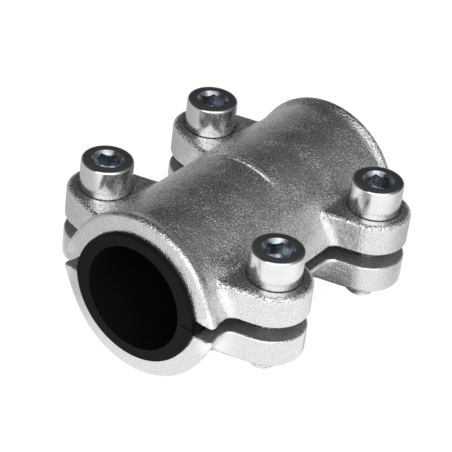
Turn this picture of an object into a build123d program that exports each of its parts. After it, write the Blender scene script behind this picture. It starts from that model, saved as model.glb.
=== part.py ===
"""Two-half pipe repair clamp: cast half shells closed on a split rubber sleeve by four cap screws.

Frame: the origin is the centre of the bore, half way along it. +X points from the bore to one row of
lugs, +Y runs along the bore, and +Z points up along the screws, whose heads are on top.
"""

import os
from math import cos, hypot, radians, sin, sqrt, tan

from build123d import *

# Pipe and sleeve
pipe_diameter = 26.9  # a 3/4 inch steel pipe
sleeve_wall = 4.1  # before it is squeezed
sleeve_squeeze = 1.15  # how far each casting is closed past the place where its own bore is round the pipe
sleeve_overhang = 1.2  # how far the sleeve stands out of the castings at each end
sleeve_slit = 0.3
sleeve_swell = 1.2  # how far its lips are squeezed out into the parting gap
swell_clearance = 0.05
sleeve_edge_round = 0.4

# Half shells
casting_length = 78.0
shell_wall = 2.8  # beside the parting gaps
parting_gap = 3.8
crown_angle = 35.0  # the shell is round above this angle, and its flanks are flatter below it
foot_flare = 2.1  # how far the foot of a flank stands outside the round of the shell
upper_foot_round = 2.2  # along the bore
lower_foot_round = 1.0
foot_edge_round = 0.6  # round the outside
end_edge_round = 1.1

# Lips round both ends
lip_height = 0.9
lip_foot_height = 0.45
lip_land = 1.5
lip_ramp = 1.9
lip_base_round = 2.5
lip_crest_round = 1.0

# Bead over the crown of the upper half
bead_height = 0.5
bead_width = 1.7
bead_half_angle = 28.0
bead_round = 0.7

# Lugs
screw_spacing_across = 51.6
screw_setback = 18.15  # from the end of the casting to the axis of the nearest screw
lug_nose_radius = 9.4
lug_spread_angle = 15.0
lug_edge_round = 1.0
lug_root_fillet = 2.5
upper_lug_thickness = 8.4
lower_lug_thickness = 7.5
clearance_hole = 9.0
thread_clearance = 0.05  # all round a screw in its tapped hole
tapped_hole_chamfer = 0.5

# M8 hexagon socket cap screws
thread_diameter = 8.0
screw_length = 25.0
tip_chamfer = 0.9
head_diameter = 13.0
head_height = 8.0
head_top_round = 0.7
head_base_round = 0.3
socket_across_flats = 6.0
socket_depth = 4.0
socket_point = 1.2
socket_mouth_diameter = 8.0

# Sizes that follow
bore_radius = pipe_diameter / 2
sleeve_radius = bore_radius + sleeve_wall
shell_radius = sleeve_radius + shell_wall
half_length = casting_length / 2
half_gap = parting_gap / 2
screw_x = screw_spacing_across / 2
screw_y = half_length - screw_setback
seat_height = half_gap + upper_lug_thickness
corners = [(sx * screw_x, sy * screw_y) for sx in (1, -1) for sy in (1, -1)]
cut_length = 2 * casting_length  # of tools that pass right through

# Where a body stands to its own origin
ABOVE = (Align.CENTER, Align.CENTER, Align.MIN)
BELOW = (Align.CENTER, Align.CENTER, Align.MAX)


def along_y(radius, length):
    """Cylinder on the axis of the bore, centred half way along it."""
    return Cylinder(radius, length, rotation=(90, 0, 0))


# Both castings are made as the upper half. The lower half is turned over at the end.


def section(y, proud=0.0, foot_proud=0.0):
    """Section of a half shell at y, before it is bored: round crown, flatter flanks and a flat foot.
    proud is how far the crown stands outside the plain shell, and foot_proud the ends of the foot."""
    foot_x = sqrt(shell_radius**2 - half_gap**2) + foot_flare + foot_proud
    crown = CenterArc((0, 0), shell_radius + proud, crown_angle, 180 - 2 * crown_angle)
    right = TangentArc(crown @ 0, (foot_x, half_gap), tangent=-(crown % 0))
    left = TangentArc(crown @ 1, (-foot_x, half_gap), tangent=crown % 1)
    foot = Line((foot_x, half_gap), (-foot_x, half_gap))
    return Pos(0, y, 0) * (Plane.XZ * make_face(crown + right + left + foot))


def outline_edges(body, y):
    """Edges of the outline in the planes at y and -y, apart from the ones along the foot."""
    level = [e for e in body.edges() if all(abs(abs((e @ t).Y) - y) < 1e-4 for t in (0, 0.5, 1))]
    return [e for e in level if e.center().Z > half_gap + 1e-3]


def lipped_shell():
    """Solid half round with a lip at each end: a ramp out of the shell and a land, both blended."""
    crest = half_length - lip_land
    base = crest - lip_ramp
    land = section(crest, lip_height, lip_foot_height)
    lip = loft([section(base), land], ruled=True) + extrude(land, -lip_land)
    body = extrude(section(0), half_length, both=True) + lip + mirror(lip, about=Plane.XZ)
    body = fillet(outline_edges(body, base), lip_base_round)
    body = fillet(outline_edges(body, crest), lip_crest_round)
    return fillet(outline_edges(body, half_length), end_edge_round)


def lug_plan():
    """Round nose about the screw axis, with straight flanks that spread towards the shell."""
    spread = radians(lug_spread_angle)
    touch_x = lug_nose_radius * sin(spread)
    touch_y = lug_nose_radius * cos(spread)
    root_y = touch_y + (touch_x + screw_x) * tan(spread)
    nose = ThreePointArc((touch_x, -touch_y), (lug_nose_radius, 0), (touch_x, touch_y))
    sides = Polyline(nose @ 1, (-screw_x, root_y), (-screw_x, -root_y), nose @ 0)
    return make_face(nose + sides)


def lug(thickness):
    """One lug on the +X side, its far edge rounded, that reaches half way into the shell wall."""
    blank = Pos(screw_x, 0, half_gap) * extrude(lug_plan(), thickness)
    rim = blank.faces().sort_by(Axis.Z)[-1].edges().sort_by(Axis.X)[1:]
    return fillet(rim, lug_edge_round) - along_y(sleeve_radius + shell_wall / 2, casting_length)


def lugged_shell(lug_thickness):
    """Lipped shell with four lugs, each blended into the shell by one fillet round its root."""
    shell = lipped_shell()
    right = lug(lug_thickness)
    left = mirror(right, about=Plane.YZ)
    lugs = [Pos(0, y, 0) * side for y in (screw_y, -screw_y) for side in (right, left)]
    body = shell + lugs
    return fillet(new_edges(shell, *lugs, combined=body), lug_root_fillet)


def crown_bead():
    """Thin bead across the crown at mid length: a disc of smaller radius that fades into the shell."""
    edge_x = shell_radius * sin(radians(bead_half_angle))
    rise = shell_radius + bead_height - shell_radius * cos(radians(bead_half_angle))
    radius = (edge_x**2 + rise**2) / (2 * rise)
    disc = along_y(radius, bead_width)
    disc = fillet(disc.edges().filter_by(GeomType.CIRCLE), bead_round)
    disc = Pos(0, 0, shell_radius + bead_height - radius) * disc
    return split(disc, Plane.XY.offset(shell_radius / 2))


def bore_tool(foot_round):
    """The bore of a casting and the room below its foot, with a round where they meet."""
    bore = Pos(0, -sleeve_squeeze) * Circle(sleeve_radius)
    below = Rectangle(2 * shell_radius, 2 * shell_radius, align=(Align.CENTER, Align.MAX))
    profile = bore + Pos(0, half_gap) * below
    meeting = [v for v in profile.vertices() if abs(v.X) < sleeve_radius]
    return extrude(Plane.XZ * fillet(meeting, foot_round), casting_length, both=True)


def half_casting(lug_thickness, foot_round, bead, holes):
    """Half shell with its foot rounded outside, bored and drilled."""
    body = lugged_shell(lug_thickness) + bead
    foot = body.faces().filter_by(Axis.Z).sort_by(Axis.Z)[0]
    body = fillet(foot.edges(), foot_edge_round)
    return body - bore_tool(foot_round) - [Pos(x, y, half_gap) * holes for x, y in corners]


def upper_half():
    """Half with the bead, and a plain clearance hole through each lug."""
    hole = Cylinder(clearance_hole / 2, cut_length)
    return half_casting(upper_lug_thickness, upper_foot_round, crown_bead(), hole)


def lower_half():
    """Half turned over, and a hole through each lug that takes the thread, with its ends chamfered."""
    radius = thread_diameter / 2 + thread_clearance
    hole = Cylinder(radius, cut_length)
    mouth = Cone(radius + tapped_hole_chamfer, radius, tapped_hole_chamfer, align=ABOVE)
    hole += mouth + Pos(0, 0, lower_lug_thickness) * mirror(mouth, about=Plane.XY)
    return mirror(half_casting(lower_lug_thickness, lower_foot_round, [], hole), about=Plane.XY)


def rubber_sleeve():
    """Tube as both castings squeeze it, split along the +X parting gap, where its two lips swell out
    between them. The swell is as wide as the rounded foot of the lower casting leaves room for."""
    rod = along_y(sleeve_radius, casting_length + 2 * sleeve_overhang)
    rod = fillet(rod.edges().filter_by(GeomType.CIRCLE), sleeve_edge_round)
    upper = Pos(0, 0, -sleeve_squeeze) * rod
    tube = upper & mirror(upper, about=Plane.XY)
    top = sleeve_radius + sleeve_swell
    round_z = half_gap + lower_foot_round
    round_x = sqrt((sleeve_radius + lower_foot_round) ** 2 - (round_z + sleeve_squeeze) ** 2)
    reach = lower_foot_round + swell_clearance
    past = top - round_x
    swell_radius = (past**2 + round_z**2 - reach**2) / (2 * (reach + past))
    tube += Pos(top - swell_radius, 0, 0) * along_y(swell_radius, casting_length)
    slit = Pos(sleeve_radius, 0, 0) * Box(2 * sleeve_radius, cut_length, sleeve_slit)
    return tube - along_y(bore_radius, cut_length) - slit


def circles(body):
    """Round edges of a turned body, from the lowest up."""
    return body.edges().filter_by(GeomType.CIRCLE).sort_by(Axis.Z)


def cap_screw():
    """Socket cap screw whose head stands on z = 0, with its shank below."""
    head = Cylinder(head_diameter / 2, head_height, align=ABOVE)
    head = fillet(circles(head)[-1], head_top_round)
    head = fillet(circles(head)[0], head_base_round)
    shank = Cylinder(thread_diameter / 2, screw_length, align=BELOW)
    shank = chamfer(circles(shank)[0], tip_chamfer)
    hexagon = extrude(RegularPolygon(socket_across_flats / 2, 6, major_radius=False), socket_depth)
    mouth = socket_mouth_diameter / 2
    sink = Cone(0, mouth, mouth, align=BELOW)
    point = Cone(0, socket_across_flats / 2, socket_point, align=BELOW)
    floor = head_height - socket_depth
    return head + shank - Pos(0, 0, floor) * (hexagon + point) - Pos(0, 0, head_height) * sink


if __name__ == "__main__":
    os.makedirs("parts", exist_ok=True)
    screw = cap_screw()
    nodes = {
        "upper_half": upper_half(),
        "lower_half": lower_half(),
        "rubber_sleeve": rubber_sleeve(),
        "cap_screws": Compound([Pos(x, y, seat_height) * screw for x, y in corners]),
    }
    for name, shape in nodes.items():
        export_step(shape, f"parts/{name}.step")
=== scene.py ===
"""Looks of the pipe repair clamp: zinc coated castings, threaded cap screws and a rubber sleeve.

Lengths are in metres unless a name or a comment says otherwise. The frame is the part's own: +Y along
the bore and +Z up along the screws. Angles round are from +Y towards +X, apart from the camera's.
"""

from math import cos, pi, radians, sin

import bpy
import numpy as np
from mathutils import Matrix, Vector


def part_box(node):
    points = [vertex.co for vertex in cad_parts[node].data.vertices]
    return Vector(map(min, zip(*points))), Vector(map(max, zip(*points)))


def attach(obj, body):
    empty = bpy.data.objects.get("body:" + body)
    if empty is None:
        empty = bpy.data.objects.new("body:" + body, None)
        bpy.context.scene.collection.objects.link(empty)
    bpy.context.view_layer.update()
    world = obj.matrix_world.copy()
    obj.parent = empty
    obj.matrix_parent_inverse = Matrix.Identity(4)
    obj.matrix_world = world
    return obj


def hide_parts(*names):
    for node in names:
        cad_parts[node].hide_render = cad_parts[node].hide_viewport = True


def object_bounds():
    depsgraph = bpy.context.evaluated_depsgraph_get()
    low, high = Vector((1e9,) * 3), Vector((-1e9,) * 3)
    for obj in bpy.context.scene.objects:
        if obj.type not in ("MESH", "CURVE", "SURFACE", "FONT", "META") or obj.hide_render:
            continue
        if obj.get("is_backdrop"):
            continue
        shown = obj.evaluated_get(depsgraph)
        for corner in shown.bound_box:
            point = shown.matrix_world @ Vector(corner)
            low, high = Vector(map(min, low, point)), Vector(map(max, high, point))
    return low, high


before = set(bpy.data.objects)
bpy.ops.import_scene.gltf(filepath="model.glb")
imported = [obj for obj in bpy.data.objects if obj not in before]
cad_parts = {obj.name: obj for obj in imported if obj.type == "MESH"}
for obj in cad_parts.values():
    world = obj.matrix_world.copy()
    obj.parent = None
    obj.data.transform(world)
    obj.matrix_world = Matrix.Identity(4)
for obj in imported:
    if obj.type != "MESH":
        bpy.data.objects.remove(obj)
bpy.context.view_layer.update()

MM = 0.001

# Camera
CAMERA_AZIMUTH = radians(33.26)  # from the -Y end of the bore towards +X
CAMERA_ELEVATION = radians(34.03)
CAMERA_ROLL = radians(7.47)
CAMERA_DISTANCE = 486.9 * MM
CAMERA_ASIDE = (-2.42 * MM, 1.21 * MM)  # how far the view's centre is right of the origin and above it
CAMERA_LENS = 156.1  # millimetres
CAMERA_SENSOR = 36.0  # millimetres
CAMERA_CLIP = 0.01

# Background and key light
BACKGROUND_SHARE = 0.89  # of the floor's brightness that no shadow takes away
WORLD_LEVEL = 0.75
KEY_DIRECTION = (radians(140), radians(40))  # round, and above the horizon
KEY_DISTANCE = 1.0
KEY_SIZE = (0.75, 0.5)
KEY_POWER = 3.2

# Room, which only reflections see
ROOM_RADIUS = 1.6
ROOM_SEGMENTS = (64, 16)  # round, and from the floor to the top
ROOM_LEVEL = 2.15
ROOM_START = 300  # degrees round
ROOM_WALLS = (  # degrees round and level there: a wide soft box fills the front right
    (300, 0.026), (345, 0.03), (20, 0.09), (55, 0.18), (78, 0.30), (92, 0.85), (140, 1.0), (187, 0.92),
    (193, 0.065), (215, 0.04), (265, 0.04), (299.9, 0.026))
ROOM_CAP = (radians(200), radians(75))  # direction of the dim end of the ceiling
ROOM_CEILING = ((0.25, 0.35), (0.50, 1.0), (0.84, 1.0), (0.93, 0.45), (0.98, 0.20))  # by nearness to it
ROOM_HORIZON = ((0.0, 0.30), (0.12, 0.18), (0.28, 0.04), (0.45, 0.0))  # light added by height

# Floor: a white table that reflections see in several greys of painted light and shade
FLOOR_SIZE = 8.0
FLOOR_GREY = 0.8
FLOOR_WHITE = 1.08  # its own level towards the camera
TABLE_LEVEL = 1.3
TABLE_FRONT = radians(130)  # round, the side on which the table is brightest
TABLE_SIDES = ((0.0, 0.38), (0.35, 0.48), (0.6, 0.55), (0.75, 0.85), (0.85, 1.0))  # from back to front
TABLE_MIDDLE = 0.95
TABLE_MIDDLE_END = (44, 68)  # millimetres out, over which the middle turns into the sides
# painted shade under the object, as reflections see the table
TABLE_SHADE = 0.10  # level under the object
TABLE_SHADE_END = (36, 44)  # millimetres out, over which the shade ends

# Masks on the castings, in millimetres: where each starts, is full, ends and is gone, or two of these.
# OFF_SCREW counts from the axis of the nearest screw, ASIDE from there towards the nose of the lug,
# OFF_FACE from the mating face, OFF_SEAT from the seat of the head, and the others from the origin.
ROOT_OFF_SCREW = (9.4, 13.2, 14.0, 18.0)
ROOT_ASIDE = (-8.8, -5.8, -4.1, 0.9)
ROOT_OFF_FACE = (0.1, 0.2, 6.1, 7.6)
FOOT_OFF_SCREW = (12.0, 14.4)
FOOT_ASIDE = (-7.5, -5.1)
FOOT_OFF_FACE = (0.1, 0.2, 2.6, 5.1)
RIM_OFF_SCREW = (7.4, 8.2, 16.0, 16.8)
RIM_OFF_SEAT = (-1.7, -0.6, 0.0, 0.8)
BEAD_ALONG = (0.8, 1.0)
BEAD_HEIGHT = (15.0, 18.0)
MATING_OFF_FACE = (0.05, 0.15)
# where the line of painted shade round the foot of each screw head lies
CONTACT_SHADE_OFF_SCREW = (5.9, 6.0, 6.8, 6.9)
RING_OFF_SCREW = (5.8, 6.0, 8.0, 8.2)
RING_OFF_SEAT = (-0.4, -0.3, 0.3, 0.4)
LOWER_HALF = (-1.5, -1.0)  # up to where it has its own looks, and from where the upper half has its own

# M8 hexagon socket cap screws
THREAD_RADIUS = 4.0 * MM
THREAD_PITCH = 1.25 * MM
THREAD_DEPTH = 0.6134 * THREAD_PITCH
THREAD_CREST = 1 / 8  # of the pitch
THREAD_ROOT = 1 / 4  # of the pitch
THREAD_ROWS = 16  # in the mesh, for each turn
HEAD_RADIUS = 6.5 * MM
HEAD_HEIGHT = 8.0 * MM
HEAD_TOP_ROUND = 0.7 * MM
HEAD_BASE_ROUND = 0.3 * MM
SOCKET_APOTHEM = 3.0 * MM
SOCKET_DEPTH = 4.0 * MM
SOCKET_POINT = 1.2 * MM
SOCKET_MOUTH = 4.0 * MM
TIP_CHAMFER = 0.9 * MM
NECK_LENGTH = 2.0 * MM  # bare shank under the head
SCREW_TURNS = (20, 44, 5, 31)  # degrees that each screw is turned in its hole


class Wire:
    """A node tree and one of its output sockets. Arithmetic on wires adds Math nodes, and add() adds
    any other node."""

    def __init__(self, tree, socket=None):
        self.tree = tree
        self.socket = socket

    def add(self, kind, settings=None, inputs=None, output=0):
        """Adds a node of a kind, makes its settings, then gives its sockets their values or wires."""
        node = self.tree.nodes.new("ShaderNode" + kind)
        for name, value in (settings or {}).items():
            if name == "stops":
                fill_ramp(node.color_ramp.elements, value)
            else:
                setattr(node, name, value)
        for name, value in (inputs or {}).items():
            if isinstance(value, Wire):
                self.tree.links.new(value.socket, node.inputs[name])
            else:
                node.inputs[name].default_value = value
        return Wire(self.tree, node.outputs[output] if node.outputs else None)

    def maths(self, operation, *values):
        """Adds a Math node on values or wires."""
        return self.add("Math", {"operation": operation}, dict(enumerate(values)))

    def __add__(self, other):
        return self.maths("ADD", self, other)

    def __sub__(self, other):
        return self.maths("SUBTRACT", self, other)

    def __rsub__(self, other):
        return self.maths("SUBTRACT", other, self)

    def __mul__(self, other):
        return self.maths("MULTIPLY", self, other)

    __radd__ = __add__
    __rmul__ = __mul__


def fill_ramp(elements, stops):
    """Gives a colour ramp its stops, each a place from 0 to 1 and a grey value."""
    while len(elements) < len(stops):
        elements.new(1.0)
    for element, (place, value) in zip(elements, stops):
        element.position = place
        element.color = grey(value)


def grey(level, warmth=0.0):
    """Near-grey colour, a little red for warmth over 0 and a little blue below it."""
    return (level * (1 + warmth), level, level * (1 - warmth), 1)


# Nodes


def empty_tree(owner):
    """Empties the node tree of a material or of the world, and gives it as a wire with no socket."""
    owner.use_nodes = True
    owner.node_tree.nodes.clear()
    return Wire(owner.node_tree)


def new_material(name):
    """New material, and its empty tree."""
    material = bpy.data.materials.new(name)
    return material, empty_tree(material)


def object_place(graph):
    """Place on the object, in metres."""
    return graph.add("TexCoord", output="Object")


def millimetres(place):
    """The same place in millimetres."""
    return place.add("VectorMath", {"operation": "SCALE"}, {0: place, "Scale": 1 / MM})


def part(vector, axis):
    """X, Y or Z part of a vector."""
    return vector.add("SeparateXYZ", inputs={0: vector}, output=axis)


def unit(vector):
    """The vector at length 1."""
    return vector.add("VectorMath", {"operation": "NORMALIZE"}, {0: vector})


def length(vector):
    """Length of a vector."""
    return vector.add("VectorMath", {"operation": "LENGTH"}, {0: vector}, "Value")


def dot(vector, fixed):
    """How far a vector reaches along a fixed one."""
    return vector.add("VectorMath", {"operation": "DOT_PRODUCT"}, {0: vector, 1: fixed}, "Value")


def absolute(value):
    """Value without its sign."""
    return value.maths("ABSOLUTE", value)


def larger(first, second):
    """The larger of two values."""
    return first.maths("MAXIMUM", first, second)


def noise(place, size, detail=2.0, roughness=0.5):
    """Smooth noise from 0 to 1 whose lumps are about size across."""
    inputs = {"Vector": place, "Scale": 1.0 / size, "Detail": detail, "Roughness": roughness}
    return place.add("TexNoise", inputs=inputs, output="Fac")


def step(value, start, end, low=0.0, high=1.0):
    """Low up to start, high from end on, and a straight line between them."""
    return value.add("MapRange", inputs={0: value, 1: start, 2: end, 3: low, 4: high})


def band(value, places):
    """0 up to the first of four places, 1 between the next two, 0 from the last on, and straight lines
    between them."""
    start, full, end, gone = places
    return step(value, start, full) - step(value, end, gone)


def ramp(value, stops):
    """Value carried through straight lines between stops."""
    return value.add("ValToRGB", {"stops": stops}, {"Fac": value}, output="Color")


def mix_colour(share, first, second):
    """First colour, with this share of the second."""
    return share.add("Mix", {"data_type": "RGBA"}, {0: share, 6: first, 7: second}, output=2)


def coat(graph, relief, looks):
    """Ends a material's tree in a principled shader of these looks, its normals moved by a relief in
    millimetres."""
    bump = graph.add("Bump", inputs={"Height": relief, "Strength": 1.0, "Distance": MM})
    shader = graph.add("BsdfPrincipled", inputs={**looks, "Normal": bump})
    graph.add("OutputMaterial", inputs={"Surface": shader})


# Materials


def casting_masks(place, facing):
    """Where the surface of a casting changes, as six masks from 0 to 1, the same at all four lugs of both
    halves: where zinc has run thick into the roots of the lugs and along the feet, with a painted
    highlight there, the rims of the lugs, the painted highlight on the bead, the mating faces, the line
    of painted shade round the foot of a screw head, and the smoother ring on which it stands.
    Place is in millimetres, and facing is 1 on level faces and 0 on upright ones."""
    side, along, height = [absolute(part(place, axis)) for axis in "XYZ"]
    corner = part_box("cap_screws")[1]
    aside = side - (corner.x - HEAD_RADIUS) / MM
    off_y = along - (corner.y - HEAD_RADIUS) / MM
    off_screw = place.maths("SQRT", aside * aside + off_y * off_y)
    off_seat = height - (corner.z - HEAD_HEIGHT) / MM
    off_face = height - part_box("upper_half")[0].z / MM

    root = band(off_screw, ROOT_OFF_SCREW) * band(aside, ROOT_ASIDE) * band(off_face, ROOT_OFF_FACE)
    foot = step(off_screw, *FOOT_OFF_SCREW) * step(aside, *FOOT_ASIDE) * band(off_face, FOOT_OFF_FACE)
    # where zinc runs thick into the roots and along the feet, which also get a painted highlight
    run_and_highlight = larger(root, foot * 0.8)
    rim = band(off_screw, RIM_OFF_SCREW) * band(off_seat, RIM_OFF_SEAT)
    rim *= step(facing, 0.9, 1.0, low=1.0, high=0.0)
    # where a highlight is painted along the bead on the crown
    bead_highlight = step(along, *BEAD_ALONG, low=1.0, high=0.0) * step(part(place, "Z"), *BEAD_HEIGHT)
    mating = step(off_face, *MATING_OFF_FACE, low=1.0, high=0.0)
    level_seat = band(off_seat, RING_OFF_SEAT)
    # a line of painted shade round the foot of each screw head
    shade_pattern = band(off_screw, CONTACT_SHADE_OFF_SCREW) * level_seat
    ring = band(off_screw, RING_OFF_SCREW) * level_seat
    return run_and_highlight, rim, bead_highlight, mating, shade_pattern, ring


def zinc_casting():
    """Iron casting under dull zinc: a slow swell, lumps, sandy grain and steep bright grains, stronger
    on what faces up than on the sides and strongest on the rims of the lugs. Run zinc is thick, and a
    painted highlight makes it, the rims of the lugs and the bead pale. The lower half is smoother and
    more even. The mating faces are duller and carry painted shade, and each screw head stands on a
    smoother ring with a line of painted shade round its foot."""
    material, graph = new_material("zinc_casting")
    place = millimetres(object_place(graph))
    facing = absolute(part(graph.add("TexCoord", output="Normal"), "Z"))
    run_and_highlight, rim, bead_highlight, mating, shade_pattern, ring = casting_masks(place, facing)
    vigour = step(part(place, "Z"), *LOWER_HALF, low=0.5)

    patches = step(noise(place, 7.0, detail=3.0), 0.35, 0.65, low=0.35)
    patches *= step(facing, 0.1, 0.6, low=0.25) * (1.0 - run_and_highlight * 0.6)
    swell = noise(place, 9.0, detail=1.0)
    lumps = noise(place, 2.2)
    grain = noise(place, 0.42, detail=1.0)
    grains = step(noise(place, 0.5, roughness=0.6), 0.52, 0.76)
    dots = noise(place, 0.36, detail=0.0)
    specks = step(dots, 0.62, 0.68) * patches
    pits = step(dots, 0.32, 0.38, low=1.0, high=0.0) * patches

    mottle = (step(grain, 0.3, 0.7) - 0.5) * vigour + 0.5
    dull = mix_colour(mottle, grey(0.58, warmth=-0.008), grey(0.74, warmth=-0.005))
    dull = mix_colour(specks, dull, grey(0.88))
    dull = mix_colour(pits * 0.5, dull, grey(0.20))
    # painted highlight: the roots, the feet, the rims of the lugs and the bead are made pale
    dull = mix_colour(larger(rim * 0.5 + bead_highlight * 0.9, run_and_highlight * 0.85), dull, grey(0.92))
    # painted shade: a darker colour for the mating faces in the gap between the halves and round each
    # head's foot
    shade_colour = mix_colour(grains, grey(0.26), grey(0.64))
    colour = mix_colour(larger(mating * 0.85, shade_pattern), dull, shade_colour)

    sharpness = (1.0 - ring * 0.7) * vigour
    relief = swell * 0.4 + (lumps - 0.5) * (rim * 0.3 + run_and_highlight * 0.25 + vigour * 0.12)
    relief += (grain - 0.5) * (patches * 0.13 + 0.05) * sharpness
    relief += (grains - 0.3) * (patches * 0.07 + rim * 0.25 + run_and_highlight * 0.12 + 0.02) * sharpness
    rough = patches * 0.06 + 0.20 + specks * 0.3 + mating * 0.2 + run_and_highlight * 0.12
    coat(graph, relief, {"Base Color": colour, "Roughness": rough, "Metallic": 0.96 - mating * 0.2})
    return material


def zinc_plate():
    """Bright zinc plate on turned steel."""
    material, graph = new_material("zinc_plate")
    place = millimetres(object_place(graph))
    cloud = noise(place, 2.5, detail=3.0)
    scratch = noise(place, 0.3)
    colour = mix_colour(cloud, grey(0.66, warmth=-0.015), grey(0.78, warmth=-0.01))
    relief = cloud * 0.02 + scratch * 0.003
    coat(graph, relief, {"Base Color": colour, "Roughness": cloud * 0.08 + 0.14, "Metallic": 1.0})
    return material


def shaded_socket_plate():
    """The same plate down in a socket and on its mouth, darker and bluer with painted shade."""
    material, graph = new_material("shaded_socket_plate")
    shade_pattern = noise(millimetres(object_place(graph)), 1.8)
    # painted shade in the socket: a darker, bluer plate colour, mottled by noise
    colour = mix_colour(step(shade_pattern, 0.35, 0.65), grey(0.34, warmth=-0.12), grey(0.66, warmth=-0.06))
    coat(graph, shade_pattern * 0.05, {"Base Color": colour, "Roughness": shade_pattern * 0.2 + 0.16, "Metallic": 1.0})
    return material


def black_rubber():
    """Matt black rubber with a faint skin."""
    material, graph = new_material("black_rubber")
    place = millimetres(object_place(graph))
    skin = noise(place, 0.4, detail=3.0)
    bloom = noise(place, 6.0)
    looks = {"Base Color": mix_colour(bloom, grey(0.002), grey(0.005)), "Roughness": skin * 0.15 + 0.55}
    coat(graph, skin * 0.02, {**looks, "Specular IOR Level": 0.12})
    return material


# Pieces


def new_object(name, data):
    """Puts an object of this name and data into the scene."""
    made = bpy.data.objects.new(name, data)
    bpy.context.scene.collection.objects.link(made)
    return made


def new_mesh(name, points, faces, material):
    """Mesh object of one material."""
    mesh = bpy.data.meshes.new(name)
    mesh.from_pydata(points, [], faces)
    mesh.materials.append(material)
    return new_object(name, mesh)


def surface(name, grid, material, sharp=radians(35)):
    """Mesh from a grid of points, shape (rows, columns, 3). The columns close round, and the first and
    last rows are single points."""
    rows, columns = grid.shape[:2]
    points = np.vstack([grid[:1, 0], grid[1:-1].reshape(-1, 3), grid[-1:, 0]])
    ring = np.arange(columns)
    after = np.roll(ring, -1)
    start = 1 + columns * np.arange(rows - 3)[:, None]
    quads = np.stack([start + ring, start + after, start + columns + after, start + columns + ring], -1)
    last = 1 + columns * (rows - 3)
    first_fan = np.stack([np.zeros(columns, int), after + 1, ring + 1], -1)
    last_fan = np.stack([np.full(columns, last + columns), last + ring, last + after], -1)
    faces = first_fan.tolist() + quads.reshape(-1, 4).tolist() + last_fan.tolist()
    piece = new_mesh(name, points.tolist(), faces, material)
    piece.data.shade_smooth()
    piece.data.set_sharp_from_angle(angle=sharp)
    return piece


def quarter(radius, centre_r, centre_z, start, steps=6):
    """Rows of a quarter round from an angle on, 90 degrees clockwise, as (radius, height) pairs."""
    angles = start - np.linspace(0, pi / 2, steps)
    return [(centre_r + radius * cos(a), centre_z + radius * sin(a)) for a in angles]


def thread_radius(height, angle):
    """Radius of a 60 degree thread at a height and an angle: flat crests an eighth of the pitch wide,
    flat roots a quarter wide, straight flanks between them, and a crest that climbs one pitch a turn."""
    phase = (height / THREAD_PITCH - angle / (2 * pi)) % 1.0
    off_crest = np.abs(2 * phase - 1)  # 0 in the middle of a crest and 1 in the middle of a root
    down_flank = (off_crest - THREAD_CREST) / (1 - THREAD_CREST - THREAD_ROOT)
    return THREAD_RADIUS - THREAD_DEPTH * np.clip(down_flank, 0, 1)


def cap_screw(name, x, y, seat, tip, turn, material, socket_material, columns=48):
    """Cap screw as rows carried round its axis: the radius of a row is constant, the hexagon's apothem
    over the cosine of the angle off its nearest flat in the socket, or the thread's, cut by a cone at
    the tip."""
    angle = np.arange(columns) * 2 * pi / columns
    flat = pi / 3
    hexagon = SOCKET_APOTHEM / np.cos((angle + flat / 2) % flat - flat / 2)
    inside_flats = SOCKET_APOTHEM * 0.999  # just short of them, so that no two points of the floor meet
    top = seat + HEAD_HEIGHT
    floor = top - SOCKET_DEPTH
    rows = [(0, floor - SOCKET_POINT), (inside_flats, floor), (hexagon, floor)]
    rows += [(hexagon, top - (SOCKET_MOUTH - hexagon)), (SOCKET_MOUTH, top)]
    socket_rings = len(rows) - 1
    rows += quarter(HEAD_TOP_ROUND, HEAD_RADIUS - HEAD_TOP_ROUND, top - HEAD_TOP_ROUND, pi / 2)
    rows += quarter(HEAD_BASE_ROUND, HEAD_RADIUS - HEAD_BASE_ROUND, seat + HEAD_BASE_ROUND, 0)
    rows += [(THREAD_RADIUS, seat)]
    for height in np.arange(seat - NECK_LENGTH, tip, -THREAD_PITCH / THREAD_ROWS):
        chamfer = THREAD_RADIUS - TIP_CHAMFER + (height - tip)
        rows += [(np.minimum(thread_radius(height, angle), chamfer), height)]
    rows += [(THREAD_RADIUS - TIP_CHAMFER, tip), (0, tip)]
    radius = np.array([np.broadcast_to(r, columns) for r, _ in rows])
    height = np.array([np.broadcast_to(z, columns) for _, z in rows])
    round_angle = angle + radians(turn)
    grid = np.stack([x + radius * np.cos(round_angle), y + radius * np.sin(round_angle), height], -1)
    piece = surface(name, grid, material)
    piece.data.materials.append(socket_material)
    inside = np.arange(len(piece.data.polygons)) < socket_rings * columns
    piece.data.polygons.foreach_set("material_index", inside.astype(np.int32))
    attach(piece, "root")
    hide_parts("cap_screws")


def cap_screws(material, socket_material):
    """The four screws, from the box of the CAD screws: their heads touch its sides and its top."""
    low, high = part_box("cap_screws")
    seat = high.z - HEAD_HEIGHT
    places = [(high.x, low.y), (high.x, high.y), (low.x, low.y), (low.x, high.y)]
    names = ("front_right", "back_right", "front_left", "back_left")
    for name, (x, y), turn in zip(names, places, SCREW_TURNS):
        x -= np.sign(x) * HEAD_RADIUS
        y -= np.sign(y) * HEAD_RADIUS
        cap_screw("cap_screw_" + name, x, y, seat, low.z, turn, material, socket_material)


def dress(node, material):
    """Gives a CAD node its material."""
    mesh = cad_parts[node].data
    mesh.materials.clear()
    mesh.materials.append(material)


# Studio


def direction(azimuth, elevation):
    """Unit vector at an angle round and an angle above the horizon."""
    return Vector((sin(azimuth) * cos(elevation), cos(azimuth) * cos(elevation), sin(elevation)))


def background_ray(graph):
    """1 for camera, glossy and transmission rays, which see the white background, and 0 for the rest."""
    share = graph.add("LightPath", output="Is Camera Ray")
    for kind in ("Glossy", "Transmission"):
        share = larger(share, graph.add("LightPath", output="Is %s Ray" % kind))
    return share


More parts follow.
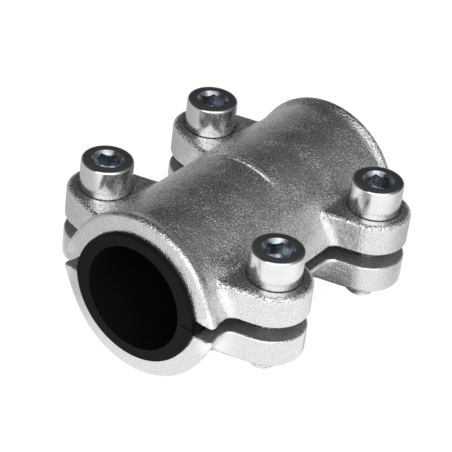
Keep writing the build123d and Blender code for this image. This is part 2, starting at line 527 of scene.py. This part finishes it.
def make_floor():
    """Pale floor that stays white round a soft shadow. Reflections see it as a table of painted light and
    shade: dim under the object, pale in the middle and brightest on its front side."""
    material, graph = new_material("floor")
    place = millimetres(object_place(graph))
    far = length(place)
    frontness = dot(unit(place), direction(TABLE_FRONT, 0)) * 0.5 + 0.5
    outer = step(far, *TABLE_MIDDLE_END)
    table = outer * ramp(frontness, TABLE_SIDES) + (1.0 - outer) * TABLE_MIDDLE
    table *= step(far, *TABLE_SHADE_END, low=TABLE_SHADE)
    camera = graph.add("LightPath", output="Is Camera Ray")
    level = camera * FLOOR_WHITE + (1.0 - camera) * TABLE_LEVEL * table
    white = graph.add("Emission", inputs={"Color": level})
    paint = graph.add("BsdfDiffuse", inputs={"Color": grey(FLOOR_GREY)})
    share = background_ray(graph) * BACKGROUND_SHARE
    shader = graph.add("MixShader", inputs={0: share, 1: paint, 2: white})
    graph.add("OutputMaterial", inputs={"Surface": shader})
    half = FLOOR_SIZE / 2
    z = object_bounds()[0].z
    corners = [(-half, -half, z), (half, -half, z), (half, half, z), (-half, half, z)]
    floor = new_mesh("floor", corners, [(0, 1, 2, 3)], material)
    floor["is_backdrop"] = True


def make_room():
    """Dim room with a wide soft box, seen only in reflections: a half sphere round the origin, one point
    for each azimuth and elevation, that goes down to the floor."""
    material, graph = new_material("room")
    place = unit(object_place(graph))
    middle = radians(ROOM_START + 180)
    along = dot(place, direction(middle, 0))
    across = dot(place, direction(middle + pi / 2, 0))
    turn = graph.maths("ARCTAN2", across, along) * (1 / (2 * pi)) + 0.5  # 0 to 1, from ROOM_START
    walls = ramp(turn, [((angle - ROOM_START) % 360 / 360, level) for angle, level in ROOM_WALLS])
    ceiling = ramp(dot(place, direction(*ROOM_CAP)), ROOM_CEILING)
    level = walls * ceiling + ramp(part(place, "Z"), ROOM_HORIZON)
    light = graph.add("Emission", inputs={"Color": level, "Strength": ROOM_LEVEL})
    graph.add("OutputMaterial", inputs={"Surface": light})
    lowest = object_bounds()[0].z / ROOM_RADIUS  # the angle at which the dome meets the floor
    segments, rings = ROOM_SEGMENTS
    azimuth, elevation = np.meshgrid(
        np.linspace(0, 2 * pi, segments + 1), np.linspace(lowest, pi / 2, rings + 1))
    flat = np.cos(elevation)
    points = np.stack([flat * np.sin(azimuth), flat * np.cos(azimuth), np.sin(elevation)], -1)
    points = (ROOM_RADIUS * points).reshape(-1, 3)
    index = np.arange(azimuth.size).reshape(azimuth.shape)
    quads = np.stack([index[:-1, :-1], index[1:, :-1], index[1:, 1:], index[:-1, 1:]], -1)
    room = new_mesh("room", points.tolist(), quads.reshape(-1, 4).tolist(), material)
    room.visible_camera = room.visible_diffuse = room.visible_shadow = room.visible_transmission = False
    room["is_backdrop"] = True


def make_key_light():
    """Large soft box."""
    lamp = bpy.data.lights.new("key", "AREA")
    lamp.shape = "RECTANGLE"
    lamp.size, lamp.size_y = KEY_SIZE
    lamp.energy = KEY_POWER
    light = new_object("key", lamp)
    towards = direction(*KEY_DIRECTION)
    light.location = towards * KEY_DISTANCE
    light.rotation_euler = towards.to_track_quat("Z", "Y").to_euler()
    light.visible_camera = light.visible_glossy = False


def make_world():
    """White background for what the camera and reflections see, and a plain soft level for the rest."""
    world = bpy.data.worlds.new("world")
    bpy.context.scene.world = world
    graph = empty_tree(world)
    strength = background_ray(graph) * (1.0 - WORLD_LEVEL) + WORLD_LEVEL
    background = graph.add("Background", inputs={"Color": grey(1.0), "Strength": strength})
    graph.add("OutputWorld", inputs={"Surface": background})


def make_camera():
    """Camera at its azimuth, elevation, roll and distance, then moved aside in its own plane."""
    back = direction(pi - CAMERA_AZIMUTH, CAMERA_ELEVATION)
    level = Vector((0, 0, 1)).cross(back).normalized()
    rise = back.cross(level)
    right = level * cos(CAMERA_ROLL) + rise * sin(CAMERA_ROLL)
    up = rise * cos(CAMERA_ROLL) - level * sin(CAMERA_ROLL)
    camera = new_object("camera", bpy.data.cameras.new("camera"))
    camera.data.lens = CAMERA_LENS
    camera.data.sensor_width = CAMERA_SENSOR
    camera.data.clip_start = CAMERA_CLIP
    place = back * CAMERA_DISTANCE + right * CAMERA_ASIDE[0] + up * CAMERA_ASIDE[1]
    camera.matrix_world = Matrix.Translation(place) @ Matrix((right, up, back)).transposed().to_4x4()
    bpy.context.scene.camera = camera


casting = zinc_casting()
dress("upper_half", casting)
dress("lower_half", casting)
dress("rubber_sleeve", black_rubber())
cap_screws(zinc_plate(), shaded_socket_plate())
make_floor()
make_room()
make_key_light()
make_world()
make_camera()
bpy.context.scene.view_settings.view_transform = "Standard"
